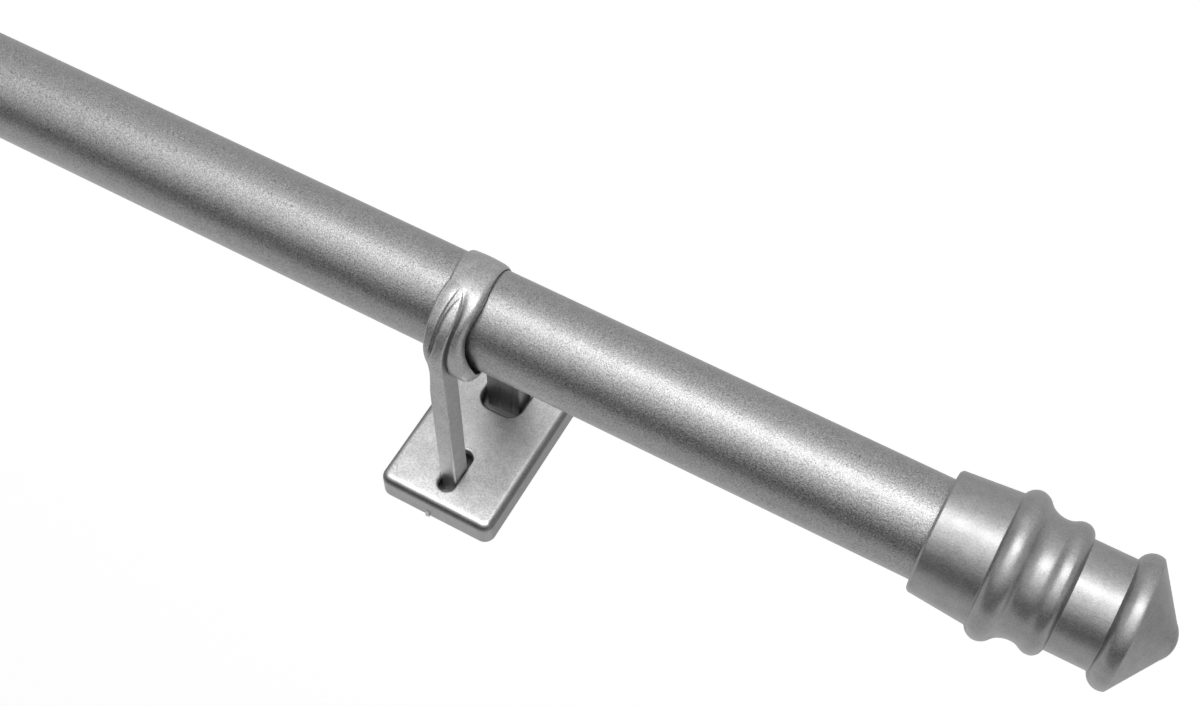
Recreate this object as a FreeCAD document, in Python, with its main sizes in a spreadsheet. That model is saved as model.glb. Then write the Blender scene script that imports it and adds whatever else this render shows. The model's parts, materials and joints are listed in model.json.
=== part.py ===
import FreeCAD, Part
import math
import os
import Sketcher

# Cafe curtain rod: two telescoping tubes with a finial pushed on each end, hung through the rings of
# two wall brackets. Frame: origin at the middle of the left bracket's wall face, X along the rod,
# Y into the wall, Z up. Millimetres and degrees.

SIZES = {
    # tubes
    "tube_diameter": 16.0,
    "tube_wall": 0.45,
    "telescope_clearance": 0.08,
    # hanging
    "bracket_span": 525.0,
    "standoff": 41.3,
    "finial_station": 77.2,
    "outer_tube_inset": 12.0,
    "inner_tube_inset": 21.3,
    "hang_clearance": 0.03,
    # finial
    "socket_clearance": 0.04,
    "socket_depth": 16.0,
    "socket_seat_gap": 0.05,
    "core_shoulder": 1.4,
    "core_end_station": 28.0,
    "mouth_edge": 0.35,
    "mouth_diameter": 19.24,
    "collar_length": 9.4,
    "collar_end_diameter": 20.72,
    "first_bead_width": 4.25,
    "first_bead_rise": 1.35,
    "cove_width": 3.6,
    "cove_depth": 0.45,
    "cove_end_diameter": 19.34,
    "second_bead_width": 3.4,
    "second_bead_rise": 1.15,
    "second_bead_crown": 0.45,
    "neck_diameter": 17.29,
    "neck_length": 6.5,
    "third_bead_width": 3.25,
    "third_bead_bulge": 0.9,
    "third_bead_crown": 0.28,
    "cone_diameter": 20.5,
    "cone_length": 4.95,
    "tip_diameter": 5.8,
    "tip_length": 1.15,
    # ring
    "ring_bore_diameter": 17.5,
    "ring_diameter": 19.3,
    "ring_offset": 0.35,
    "band_width": 6.6,
    "band_centre": -0.3,
    "band_skew": 8.0,
    # legs
    "leg_width": 3.0,
    "leg_depth": 3.95,
    "leg_spacing": 18.3,
    "back_leg_width": 6.6,
    "back_leg_shoulder": 4.5,
    "tenon_width": 2.2,
    "tenon_depth": 2.7,
    "tenon_recess": 0.1,
    "tenon_clearance": 0.02,
    # strand that twists off the ring into the front leg
    "strand_start": 92.0,
    "strand_sink": 0.35,
    "strand_width": 4.3,
    "strand_centre": 1.05,
    "strand_edge": 0.45,
    "strand_narrowing": 0.35,
    "strand_split": 0.62,
    "strand_groove": 1.32,
    "strand_groove_start": 0.08,
    "strand_groove_width": 1.1,
    "strand_run_out": 7.0,
    # wall plate
    "base_thickness": 1.5,
    "base_clearance": 0.05,
    "screw_spacing": 13.0,
    "screw_hole_diameter": 3.6,
    # cover
    "cover_width": 21.6,
    "cover_height": 5.15,
    "cover_wall": 1.2,
    "cover_corner": 1.9,
    "cover_top_edge": 1.4,
    "cover_end_land": 2.72,
    "cavity_corner": 0.85,
    "slot_rim": 0.8,
    "front_slot_side_gap": 0.5,
    "front_slot_inner_gap": 3.05,
    "front_slot_outer_gap": 2.3,
    "back_slot_side_gap": 0.6,
    "back_slot_inner_gap": 2.65,
    "back_slot_outer_gap": 2.3,
    "back_slot_corner": 2.5,
    "nub_station": 1.2,
    "nub_width": 0.85,
    "nub_rise": 0.35,
    "nub_height": 1.3,
}

ARC_CORNER = 1 - math.sqrt(0.5)
FULL_TURN = 360
HALF_TURN = 180
QUARTER_TURN = 90
NEAR = 1e-3
# The ring is cut from a blank this many bands wide.
BLANK_BANDS = 3
# Where the strand's sections stand, as shares of its way round the ring.
STRAND_SHARES = (0, 0.15, 0.3, 0.45, 0.6, 0.8, 1)
X_AXIS = FreeCAD.Vector(1, 0, 0)
Z_AXIS = FreeCAD.Vector(0, 0, 1)


class Term:
    """A size worked out from the sheet: its formula for the document and its present value."""

    def __init__(self, formula, number):
        self.formula = formula
        self.number = number

    @staticmethod
    def of(value):
        """Wrap a plain number, and hand a Term back as it is."""
        if isinstance(value, Term):
            return value
        return Term(repr(float(value)), float(value))

    def joined(self, other, sign, number):
        return Term(f"({self.formula} {sign} {Term.of(other).formula})", number)

    def __add__(self, other):
        return self.joined(other, "+", self.number + Term.of(other).number)

    def __sub__(self, other):
        return self.joined(other, "-", self.number - Term.of(other).number)

    def __mul__(self, other):
        return self.joined(other, "*", self.number * Term.of(other).number)

    def __truediv__(self, other):
        return self.joined(other, "/", self.number / Term.of(other).number)

    def __radd__(self, other):
        return Term.of(other) + self

    def __rsub__(self, other):
        return Term.of(other) - self

    def __rmul__(self, other):
        return Term.of(other) * self

    def __neg__(self):
        return Term.of(0) - self


def sine(angle):
    return Term(f"sin({angle.formula} * 1deg)", math.sin(math.radians(angle.number)))


def tangent(angle):
    return Term(f"tan({angle.formula} * 1deg)", math.tan(math.radians(angle.number)))


def square_root(term):
    return Term(f"sqrt({term.formula})", math.sqrt(term.number))


doc = FreeCAD.newDocument("CafeRod")
sheet = doc.addObject("Spreadsheet::Sheet", "Sizes")
for row, (alias, value) in enumerate(SIZES.items(), start=1):
    sheet.set(f"A{row}", alias)
    sheet.set(f"B{row}", str(value))
    sheet.setAlias(f"B{row}", alias)
doc.recompute()


def size(alias):
    """The Term of one named size in the sheet."""
    return Term(f"Sizes.{alias}", float(getattr(sheet, alias)))


def bind(feature, prop, term):
    """Tie a property of a feature to a formula of the sheet."""
    feature.setExpression(prop, Term.of(term).formula)


def new_body(label):
    body = doc.addObject("PartDesign::Body", label)
    body.Label = label
    return body


def origin_plane(body, role):
    return next(plane for plane in body.Origin.OriginFeatures if plane.Role == role)


def new_sketch(body, name, role):
    """An empty sketch on one of the body's own origin planes."""
    sketch = body.newObject("Sketcher::SketchObject", f"{body.Name}_{name}")
    sketch.AttachmentSupport = [(origin_plane(body, role), "")]
    sketch.MapMode = "FlatFace"
    return sketch


def fix_point(sketch, geometry, place, point):
    """Dimension one point of the sketch from its origin, across and up."""
    for kind, term in (("DistanceX", point[0]), ("DistanceY", point[1])):
        term = Term.of(term)
        index = sketch.addConstraint(
            Sketcher.Constraint(kind, -1, 1, geometry, place, term.number)
        )
        bind(sketch, f"Constraints[{index}]", term)


def vector(point):
    return FreeCAD.Vector(Term.of(point[0]).number, Term.of(point[1]).number, 0)


def draw_outline(sketch, start, steps):
    """Draw a closed outline: each step is an end point, and for an arc also a point that it passes."""
    here = start
    for step in steps:
        end = step[0]
        if len(step) == 1:
            index = sketch.addGeometry(Part.LineSegment(vector(here), vector(end)))
            fix_point(sketch, index, 1, here)
            fix_point(sketch, index, 2, end)
        else:
            middle = step[1]
            first, passing, last = vector(here), vector(middle), vector(end)
            left_turn = (passing - first).cross(last - passing).z > 0
            if not left_turn:
                first, last = last, first
            index = sketch.addGeometry(Part.Arc(first, passing, last))
            fix_point(sketch, index, 1 if left_turn else 2, here)
            fix_point(sketch, index, 2 if left_turn else 1, end)
            passed = sketch.addGeometry(Part.Point(vector(middle)), True)
            fix_point(sketch, passed, 1, middle)
            sketch.addConstraint(Sketcher.Constraint("PointOnObject", passed, 1, index))
        here = end


def draw_polygon(sketch, points):
    draw_outline(sketch, points[0], [(point,) for point in points[1:] + points[:1]])


def draw_circle(sketch, centre, radius):
    index = sketch.addGeometry(Part.Circle(vector(centre), Z_AXIS, radius.number))
    fix_point(sketch, index, 3, centre)
    datum = sketch.addConstraint(Sketcher.Constraint("Radius", index, radius.number))
    bind(sketch, f"Constraints[{datum}]", radius)


def draw_rounded_rectangle(sketch, centre, width, length, corner):
    """A rectangle with equal round corners; a corner of half the width makes an obround."""
    right = width / 2
    top = length / 2
    nick = corner * ARC_CORNER

    def at(across, up):
        return (centre[0] + across, centre[1] + up)

    draw_outline(
        sketch,
        at(right - corner, top),
        [
            (at(right, top - corner), at(right - nick, top - nick)),
            (at(right, corner - top),),
            (at(right - corner, -top), at(right - nick, nick - top)),
            (at(corner - right, -top),),
            (at(-right, corner - top), at(nick - right, nick - top)),
            (at(-right, top - corner),),
            (at(corner - right, top), at(nick - right, top - nick)),
            (at(right - corner, top),),
        ],
    )


def draw_obround(sketch, centre, width, length):
    """A slot outline that stands upright in the sketch."""
    side = width / 2
    straight = length / 2 - side
    left, right = centre[0] - side, centre[0] + side
    low, high = centre[1] - straight, centre[1] + straight
    draw_outline(
        sketch,
        (right, low),
        [
            ((right, high),),
            ((left, high), (centre[0], high + side)),
            ((left, low),),
            ((right, low), (centre[0], low - side)),
        ],
    )


def pad(body, sketch, length, reversed_way=False):
    feature = body.newObject("PartDesign::Pad", f"{sketch.Name}_pad")
    feature.Profile = sketch
    feature.Reversed = reversed_way
    bind(feature, "Length", length)
    doc.recompute()
    return feature


def pad_both_ways(body, sketch, length):
    feature = body.newObject("PartDesign::Pad", f"{sketch.Name}_pad")
    feature.Profile = sketch
    feature.SideType = "Symmetric"
    bind(feature, "Length", length)
    doc.recompute()
    return feature


def turn_full(body, sketch):
    """Revolve a sketch a full turn about its own horizontal axis."""
    feature = body.newObject("PartDesign::Revolution", f"{sketch.Name}_turned")
    feature.Profile = sketch
    feature.ReferenceAxis = (sketch, ["H_Axis"])
    feature.Angle = FULL_TURN
    doc.recompute()
    return feature


def cut_through(body, sketch):
    """A pocket right through the body, both ways from the sketch's plane."""
    feature = body.newObject("PartDesign::Pocket", f"{sketch.Name}_cut")
    feature.Profile = sketch
    feature.Type = "ThroughAll"
    feature.SideType = "Symmetric"
    return checked_cut(body, feature)


def cut_blind(body, sketch, depth):
    """A pocket along the sketch's own normal."""
    feature = body.newObject("PartDesign::Pocket", f"{sketch.Name}_cut")
    feature.Profile = sketch
    feature.Reversed = True
    bind(feature, "Length", depth)
    return checked_cut(body, feature)


def checked_cut(body, feature):
    before = feature.BaseFeature.Shape.Volume
    doc.recompute()
    if feature.Shape.Volume >= before:
        raise RuntimeError(f"{feature.Name} in {body.Label} cuts nothing")
    return feature


def round_edges(body, feature, radius, chosen):
    """Fillet those edges of a feature's shape that the test picks."""
    names = [
        f"Edge{number}"
        for number, edge in enumerate(feature.Shape.Edges, start=1)
        if chosen(edge)
    ]
    fillet = body.newObject("PartDesign::Fillet", f"{feature.Name}_round")
    fillet.Base = (feature, names)
    bind(fillet, "Radius", radius)
    doc.recompute()
    return fillet


def place(body, across, deep, high, turn=0):
    """Put a body at its place, each coordinate tied to its formula; a turn is about Z."""
    body.Placement.Rotation = FreeCAD.Rotation(Z_AXIS, turn)
    for axis, term in (("x", across), ("y", deep), ("z", high)):
        bind(body, f"Placement.Base.{axis}", term)


tube_radius = size("tube_diameter") / 2
inner_tube_radius = tube_radius - size("tube_wall") - size("telescope_clearance")
standoff = size("standoff")
bracket_span = size("bracket_span")
ring_bore_radius = size("ring_bore_diameter") / 2
rod_height = tube_radius + size("hang_clearance") - ring_bore_radius
tube_end_station = size("finial_station") + size("socket_depth") - size("socket_seat_gap")
outer_tube_length = tube_end_station + bracket_span - size("outer_tube_inset")
inner_tube_length = tube_end_station * 2 + bracket_span - size("inner_tube_inset")
leg_middle = size("leg_spacing") / 2
leg_inner = leg_middle - size("leg_depth") / 2
leg_outer = leg_middle + size("leg_depth") / 2
leg_end = standoff - size("base_thickness")
cover_length = (leg_outer + size("front_slot_outer_gap") + size("cover_end_land")) * 2
# The inner tube is thinner, so its bracket stands that much higher to keep the rod level.
right_bracket_height = rod_height - inner_tube_radius - size("hang_clearance") + ring_bore_radius


def make_tube(label, radius, length, left_end):
    """A plain round tube along X from its left end."""
    body = new_body(label)
    section = new_sketch(body, "section", "YZ_Plane")
    draw_circle(section, (0, 0), radius)
    draw_circle(section, (0, 0), radius - size("tube_wall"))
    pad(body, section, length)
    place(body, left_end, -standoff, rod_height)
    return body


def make_finial(label, held_radius, across, turn):
    """A turned finial round its own X axis: a socket collar, three beads, a neck and a blunt cone."""
    body = new_body(label)
    profile = new_sketch(body, "profile", "XY_Plane")
    socket_radius = held_radius + size("socket_clearance")
    core_radius = socket_radius - size("core_shoulder")
    mouth_radius = size("mouth_diameter") / 2
    edge = size("mouth_edge")
    collar_radius = size("collar_end_diameter") / 2
    cove_radius = size("cove_end_diameter") / 2
    neck_radius = size("neck_diameter") / 2
    cone_radius = size("cone_diameter") / 2
    tip_radius = size("tip_diameter") / 2
    collar_end = size("collar_length")
    first_end = collar_end + size("first_bead_width")
    cove_end = first_end + size("cove_width")
    second_end = cove_end + size("second_bead_width")
    neck_end = second_end + size("neck_length")
    third_end = neck_end + size("third_bead_width")
    cone_end = third_end + size("cone_length")
    second_middle = (
        cove_end + size("second_bead_width") * size("second_bead_crown"),
        (cove_radius + neck_radius) / 2 + size("second_bead_rise"),
    )
    third_crown = size("third_bead_crown")
    third_middle = (
        neck_end + size("third_bead_width") * third_crown,
        neck_radius + (cone_radius - neck_radius) * third_crown + size("third_bead_bulge"),
    )
    # the tip is a cap of a ball, passed half way out from the axis
    half_tip = tip_radius / 2
    ball_radius = (tip_radius * tip_radius / size("tip_length") + size("tip_length")) / 2
    tip_end = cone_end + size("tip_length")
    tip_middle = (
        tip_end - ball_radius + square_root(ball_radius * ball_radius - half_tip * half_tip),
        half_tip,
    )
    draw_outline(
        profile,
        (0, socket_radius),
        [
            ((0, mouth_radius - edge),),
            (
                (edge, mouth_radius),
                (edge * ARC_CORNER, mouth_radius - edge * ARC_CORNER),
            ),
            ((collar_end, collar_radius),),
            (
                (first_end, collar_radius),
                ((collar_end + first_end) / 2, collar_radius + size("first_bead_rise")),
            ),
            (
                (cove_end, cove_radius),
                (
                    (first_end + cove_end) / 2,
                    (collar_radius + cove_radius) / 2 - size("cove_depth"),
                ),
            ),
            ((second_end, neck_radius), second_middle),
            ((neck_end, neck_radius),),
            ((third_end, cone_radius), third_middle),
            ((cone_end, tip_radius),),
            ((tip_end, 0), tip_middle),
            ((size("core_end_station"), 0),),
            ((size("core_end_station"), core_radius),),
            ((size("socket_depth"), core_radius),),
            ((size("socket_depth"), socket_radius),),
            ((0, socket_radius),),
        ],
    )
    turn_full(body, profile)
    place(body, across, -standoff, rod_height, turn)
    return body


def strand_section(body, name, angle, inner, outer, left, right, groove):
    """A cross-section of the strand in the plane through the ring's axis at an angle round it.

    The angle runs from the back leg's side over the front of the ring to the front leg's side, and the
    section's height is measured out from the ring's axis. A groove splits the top of the strand in two.
    """
    sketch = new_sketch(body, name, "XZ_Plane")
    sketch.AttachmentOffset = FreeCAD.Placement(
        FreeCAD.Vector(), FreeCAD.Rotation(X_AXIS, 1)
    )
    bind(sketch, "AttachmentOffset.Rotation.Angle", HALF_TURN - angle)
    outline_strand(sketch, inner, outer, left, right, groove)
    return sketch


def outline_strand(sketch, inner, outer, left, right, groove):
    """The strand's section: eased top corners and a V groove whose depth may be nearly nothing."""
    edge = size("strand_edge")
    middle = left + (right - left) * size("strand_split")
    side = size("strand_groove_width") / 2
    draw_polygon(
        sketch,
        [
            (left, inner),
            (left, outer - edge),
            (left + edge, outer),
            (middle - side, outer),
            (middle, outer - groove),
            (middle + side, outer),
            (right - edge, outer),
            (right, outer - edge),
            (right, inner),
        ],
    )


def leg_section(body, name, depth_from_ring):
    """The strand's section where it has become the front leg, square to the leg."""
    sketch = new_sketch(body, name, "XZ_Plane")
    bind(sketch, "AttachmentOffset.Base.z", -depth_from_ring)
    half = size("leg_width") / 2
    outline_strand(sketch, leg_inner, leg_outer, -half, half, Term.of(0))
    return sketch


def loft(body, name, sections):
    feature = body.newObject("PartDesign::AdditiveLoft", f"{body.Name}_{name}")
    feature.Profile = sections[0]
    feature.Sections = sections[1:]
    feature.Ruled = True
    doc.recompute()
    return feature


def make_yoke(label, across, high):
    """The cast bracket yoke: a skewed ring band, a strand that twists off it, and two legs.

    The body's own origin is the middle of the ring's bore, with the wall on its +Y side.
    """
    body = new_body(label)
    ring_radius = size("ring_diameter") / 2
    ring_offset = size("ring_offset")
    half_band = size("band_width") / 2
    disc = new_sketch(body, "disc", "YZ_Plane")
    draw_circle(disc, (0, ring_offset), ring_radius)
    blank_width = size("band_width") * BLANK_BANDS
    pad_both_ways(body, disc, blank_width)
    skew = tangent(size("band_skew"))
    reach = size("ring_diameter")
    for name, way in (("trim_low", -1), ("trim_high", 1)):
        trim = new_sketch(body, name, "XZ_Plane")
        near = size("band_centre") + half_band * way
        far = near + blank_width * way
        draw_polygon(
            trim,
            [
                (near - skew * reach, reach),
                (near + skew * reach, -reach),
                (far + skew * reach, -reach),
                (far - skew * reach, reach),
            ],
        )
        cut_through(body, trim)

    # strand over the front of the ring and down into the front leg
    start = size("strand_start")
    sweep = HALF_TURN - start
    left = size("strand_centre") - size("strand_width") / 2
    right = left + size("strand_width")
    half_leg = size("leg_width") / 2
    inside = ring_bore_radius - size("hang_clearance")
    sections = []
    for number, share in enumerate(STRAND_SHARES):
        ease = share * share
        angle = start + sweep * share
        offset = ring_offset * sine(angle - QUARTER_TURN)
        outer = (ring_radius + offset) * (1 - ease) + leg_outer * ease
        outer = outer - size("strand_sink") * (1 - share)
        inner = inside * (1 - ease) + leg_inner * ease
        narrow = size("strand_narrowing") * ease
        groove = size("strand_groove") * (share * (1 - share) * (1 - share))
        sections.append(
            strand_section(
                body,
                f"strand_{number}",
                angle,
                inner,
                outer,
                left * (1 - narrow) - half_leg * narrow,
                right * (1 - narrow) + half_leg * narrow,
                size("strand_groove_start") + groove,
            )
        )
    sections.append(leg_section(body, "strand_end", size("strand_run_out")))
    sections.append(leg_section(body, "front_leg_end", leg_end))
    loft(body, "strand", sections)

    # the back leg is a wide strap that leaves the ring's side over a sloping shoulder
    back_leg = new_sketch(body, "back_leg", "YZ_Plane")
    draw_polygon(
        back_leg,
        [
            (0, -leg_inner),
            (0, ring_offset - ring_radius),
            (size("back_leg_shoulder"), -leg_outer),
            (leg_end, -leg_outer),
            (leg_end, -leg_inner),
        ],
    )
    pad_both_ways(body, back_leg, size("back_leg_width"))

    bore = new_sketch(body, "bore", "YZ_Plane")
    draw_circle(bore, (0, 0), ring_bore_radius)
    cut_through(body, bore)

    # tenons that pass into the wall plate
    tenon_length = size("base_thickness") - size("tenon_recess")
    for name, way in (("front_tenon", 1), ("back_tenon", -1)):
        tenon = new_sketch(body, name, "XZ_Plane")
        bind(tenon, "AttachmentOffset.Base.z", -leg_end)
        draw_tenon(tenon, way, 0)
        pad(body, tenon, tenon_length, reversed_way=True)

    place(body, across, -standoff, high)
    return body


def draw_tenon(sketch, way, clearance):
    """A tenon's outline at the front (+1) or back (-1) leg, or its hole with a clearance round it."""
    half_width = size("tenon_width") / 2 + clearance
    half_depth = size("tenon_depth") / 2 + clearance
    middle = leg_middle * way
    draw_polygon(
        sketch,
        [
            (-half_width, middle - half_depth),
            (half_width, middle - half_depth),
            (half_width, middle + half_depth),
            (-half_width, middle + half_depth),
        ],
    )


def make_base(label, across, high):
    """The flat wall plate inside the cover, with two screw holes and the tenon holes."""
    body = new_body(label)
    inset = (size("cover_wall") + size("base_clearance")) * 2
    outline = new_sketch(body, "outline", "XZ_Plane")
    draw_rounded_rectangle(
        outline,
        (0, 0),
        size("cover_width") - inset,
        cover_length - inset,
        size("cavity_corner"),
    )
    pad(body, outline, size("base_thickness"))

    screws = new_sketch(body, "screws", "XZ_Plane")
    for way in (-1, 1):
        draw_circle(
            screws, (size("screw_spacing") / 2 * way, 0), size("screw_hole_diameter") / 2
        )
    cut_through(body, screws)

    tenons = new_sketch(body, "tenons", "XZ_Plane")
    for way in (-1, 1):
        draw_tenon(tenons, way, size("tenon_clearance"))
    cut_through(body, tenons)
    place(body, across, 0, high)
    return body


def make_cover(label, across, high):
    """The moulded cover: a shallow rounded shell with two slots for the legs and its gate nub."""
    body = new_body(label)
    outline = new_sketch(body, "outline", "XZ_Plane")
    draw_rounded_rectangle(
        outline, (0, 0), size("cover_width"), cover_length, size("cover_corner")
    )
    block = pad(body, outline, size("cover_height"))
    top = -size("cover_height").number
    round_edges(
        body,
        block,
        size("cover_top_edge"),
        lambda edge: edge.BoundBox.YMax < top + NEAR,
    )

    # the front slot clears a narrow leg and the back slot a wide one
    front_low = leg_inner - size("front_slot_inner_gap")
    front_high = leg_outer + size("front_slot_outer_gap")
    front_width = size("leg_width") + size("front_slot_side_gap") * 2
    back_high = size("back_slot_inner_gap") - leg_inner
    back_low = -leg_outer - size("back_slot_outer_gap")
    back_width = size("back_leg_width") + size("back_slot_side_gap") * 2
    slots = new_sketch(body, "slots", "XZ_Plane")
    draw_obround(slots, (0, (front_low + front_high) / 2), front_width, front_high - front_low)
    draw_rounded_rectangle(
        slots,
        (0, (back_low + back_high) / 2),
        back_width,
        back_high - back_low,
        size("back_slot_corner"),
    )
    cut = cut_through(body, slots)
    reach = max(front_width.number, back_width.number) / 2 + NEAR
    round_edges(
        body,
        cut,
        size("slot_rim"),
        lambda edge: edge.BoundBox.YMax < top + NEAR
        and edge.BoundBox.XMin > -reach
        and edge.BoundBox.XMax < reach,
    )

    cavity = new_sketch(body, "cavity", "XZ_Plane")
    inset = size("cover_wall") * 2
    draw_rounded_rectangle(
        cavity,
        (0, 0),
        size("cover_width") - inset,
        cover_length - inset,
        size("cavity_corner"),
    )
    cut_blind(body, cavity, size("cover_height") - size("cover_wall"))

    nub = new_sketch(body, "nub", "XZ_Plane")
    half_nub = size("nub_width") / 2
    side = cover_length / 2
    draw_polygon(
        nub,
        [
            (size("nub_station") - half_nub, side - size("cover_wall") / 2),
            (size("nub_station") + half_nub, side - size("cover_wall") / 2),
            (size("nub_station") + half_nub, side + size("nub_rise")),
            (size("nub_station") - half_nub, side + size("nub_rise")),
        ],
    )
    pad(body, nub, size("nub_height"))
    place(body, across, 0, high)
    return body


def check_and_export(parts):
    """Refuse any failed feature or broken solid, then write one file for each piece."""
    doc.recompute()
    for item in doc.Objects:
        if {"Invalid", "Error"} & set(item.State):
            raise RuntimeError(f"{item.Name} failed: {item.State}")
    os.makedirs("parts", exist_ok=True)
    for part in parts:
        shape = part.Shape
        if shape.isNull() or not shape.isValid() or len(shape.Solids) != 1:
            raise RuntimeError(f"{part.Label} is not one sound solid")
        print(f"{part.Label}: {shape.Volume:.1f} mm3, {shape.BoundBox}")
        shape.exportStep(f"parts/{part.Label}.step")


PARTS = [
    make_tube("outer_tube", tube_radius, outer_tube_length, -tube_end_station),
    make_tube(
        "inner_tube",
        inner_tube_radius,
        inner_tube_length,
        size("inner_tube_inset") - tube_end_station,
    ),
    make_finial("left_finial", tube_radius, -size("finial_station"), HALF_TURN),
    make_finial("right_finial", inner_tube_radius, bracket_span + size("finial_station"), 0),
]
for side, across, high in (
    ("left", Term.of(0), Term.of(0)),
    ("right", bracket_span, right_bracket_height),
):
    PARTS.append(make_base(f"{side}_base", across, high))
    PARTS.append(make_yoke(f"{side}_yoke", across, high))
    PARTS.append(make_cover(f"{side}_cover", across, high))

check_and_export(PARTS)
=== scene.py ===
"""Dresses the cafe curtain rod: tubes, finials, bracket yokes, covers and wall plates, in a pale studio."""

import json
import logging
import math
from dataclasses import dataclass, field
from enum import Enum

import bpy
import numpy as np
from mathutils import Matrix, Vector


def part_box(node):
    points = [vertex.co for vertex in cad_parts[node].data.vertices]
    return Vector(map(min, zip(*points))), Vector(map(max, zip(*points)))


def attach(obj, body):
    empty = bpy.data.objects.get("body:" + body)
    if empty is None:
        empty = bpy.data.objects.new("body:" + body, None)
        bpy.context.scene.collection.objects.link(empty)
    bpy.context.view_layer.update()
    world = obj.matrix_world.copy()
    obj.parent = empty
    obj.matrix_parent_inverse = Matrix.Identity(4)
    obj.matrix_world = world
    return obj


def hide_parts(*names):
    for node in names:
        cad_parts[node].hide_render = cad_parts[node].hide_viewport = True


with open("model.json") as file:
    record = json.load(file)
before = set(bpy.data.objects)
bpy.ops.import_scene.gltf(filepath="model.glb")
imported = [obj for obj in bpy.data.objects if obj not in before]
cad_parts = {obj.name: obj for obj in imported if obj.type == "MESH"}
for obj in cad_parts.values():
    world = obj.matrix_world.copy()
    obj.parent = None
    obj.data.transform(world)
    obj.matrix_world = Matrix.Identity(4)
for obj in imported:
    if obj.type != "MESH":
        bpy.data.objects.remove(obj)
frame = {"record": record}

LOG = logging.getLogger("cafe_rod")
MM = 0.001


class Side(Enum):
    """The two ends of the rod, by the sign of their outward X direction."""

    LEFT = -1
    RIGHT = 1

    @property
    def word(self) -> str:
        """The side's name as it stands in node names."""
        return self.name.lower()


class Wrap(Enum):
    """How the last column of a grid of points meets the first."""

    OPEN = 0
    CLOSED = 1


# Meshes


@dataclass
class Shell:
    """One grid of points: rows along the form, columns across or round it.

    Args:
        points: array of shape (rows, columns, 3), in metres.
        wrap: whether the columns close on themselves.
        cap_first: whether the first row is filled by one face.
        cap_last: whether the last row is filled by one face.
        tone: painted light and shade, a share by which the paint is made lighter or darker, that fits the grid
            of rows and columns.
    """

    points: np.ndarray
    wrap: Wrap = Wrap.CLOSED
    cap_first: bool = False
    cap_last: bool = False
    tone: np.ndarray | float = 1.0

    def faces(self, offset: int) -> list:
        """The shell's faces.

        Args:
            offset: number of points that come before this shell's in the mesh.

        Returns:
            Lists of point numbers, one list a face.
        """
        rows, columns = self.points.shape[:2]
        index = np.arange(rows * columns).reshape(rows, columns) + offset
        if self.wrap is Wrap.CLOSED:
            index = np.concatenate([index, index[:, :1]], axis=1)
        quads = np.stack(
            [index[:-1, :-1], index[:-1, 1:], index[1:, 1:], index[1:, :-1]], axis=-1
        ).reshape(-1, 4)
        faces = quads.tolist()
        if self.cap_first:
            faces.append(index[0, :columns][::-1].tolist())
        if self.cap_last:
            faces.append(index[-1, :columns].tolist())
        return faces


def mesh_object(name: str, shells: list[Shell], crease_degrees: float = 40.0) -> bpy.types.Object:
    """Join shells into one smooth-shaded object at the origin.

    Args:
        name: the object's name.
        shells: the grids that make it up.
        crease_degrees: faces that meet more sharply than this keep a hard edge.

    Returns:
        The new object, linked to the scene.
    """
    points, faces = [], []
    offset = 0
    for shell in shells:
        points.append(shell.points.reshape(-1, 3))
        faces.extend(shell.faces(offset))
        offset += points[-1].shape[0]
    mesh = bpy.data.meshes.new(name)
    mesh.from_pydata(np.concatenate(points).tolist(), [], faces)
    mesh.validate()
    # each point keeps its painted light and shade, a share of its paint's shade
    painted_shadings = [np.broadcast_to(shell.tone, shell.points.shape[:2]).ravel() for shell in shells]
    mesh.attributes.new("tone", "FLOAT", "POINT").data.foreach_set("value", np.concatenate(painted_shadings))
    mesh.shade_smooth()
    mesh.set_sharp_from_angle(angle=math.radians(crease_degrees))
    made = bpy.data.objects.new(name, mesh)
    bpy.context.scene.collection.objects.link(made)
    return made


def arc_through(start: tuple, middle: tuple, end: tuple, count: int) -> np.ndarray:
    """Points on the circular arc from start through middle to end.

    The circle's centre is where the two chords' perpendicular bisectors cross, and the points are evenly
    spaced in angle.

    Args:
        start: first point.
        middle: a point that the arc passes.
        end: last point.
        count: number of points.

    Returns:
        Array of shape (count, 2).
    """
    first, passed, last = (np.array(point, dtype=float) for point in (start, middle, end))
    rows = 2 * np.array([passed - first, last - first])
    sides = np.array([passed @ passed - first @ first, last @ last - first @ first])
    centre = np.linalg.solve(rows, sides)
    radius = np.linalg.norm(first - centre)
    angles = [math.atan2(*(point - centre)[::-1]) for point in (first, passed, last)]
    turn = np.unwrap(angles)
    sweep = np.linspace(turn[0], turn[2], count)
    return centre + radius * np.stack([np.cos(sweep), np.sin(sweep)], axis=1)


def eased(path: np.ndarray, step: float, spread: float) -> np.ndarray:
    """A polyline resampled evenly and softened at its corners.

    The path is resampled at equal steps of its own length, then each coordinate is averaged with its
    neighbours under a bell curve. The two ends stay where they are.

    Args:
        path: array of shape (n, 2).
        step: distance between the new points.
        spread: width of the bell curve, in the path's unit.

    Returns:
        Array of shape (m, 2).
    """
    lengths = np.concatenate([[0], np.cumsum(np.linalg.norm(np.diff(path, axis=0), axis=1))])
    count = max(int(lengths[-1] / step), 8)
    places = np.linspace(0, lengths[-1], count + 1)
    fine = np.stack([np.interp(places, lengths, path[:, axis]) for axis in (0, 1)], axis=1)
    reach = max(int(3 * spread / step), 1)
    bell = np.exp(-0.5 * (np.arange(-reach, reach + 1) * step / spread) ** 2)
    bell /= bell.sum()
    before = 2 * fine[:1] - fine[1 : reach + 1][::-1]
    after = 2 * fine[-1:] - fine[-reach - 1 : -1][::-1]
    padded = np.concatenate([before, fine, after])
    return np.stack([np.convolve(padded[:, axis], bell, mode="valid") for axis in (0, 1)], axis=1)


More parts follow.
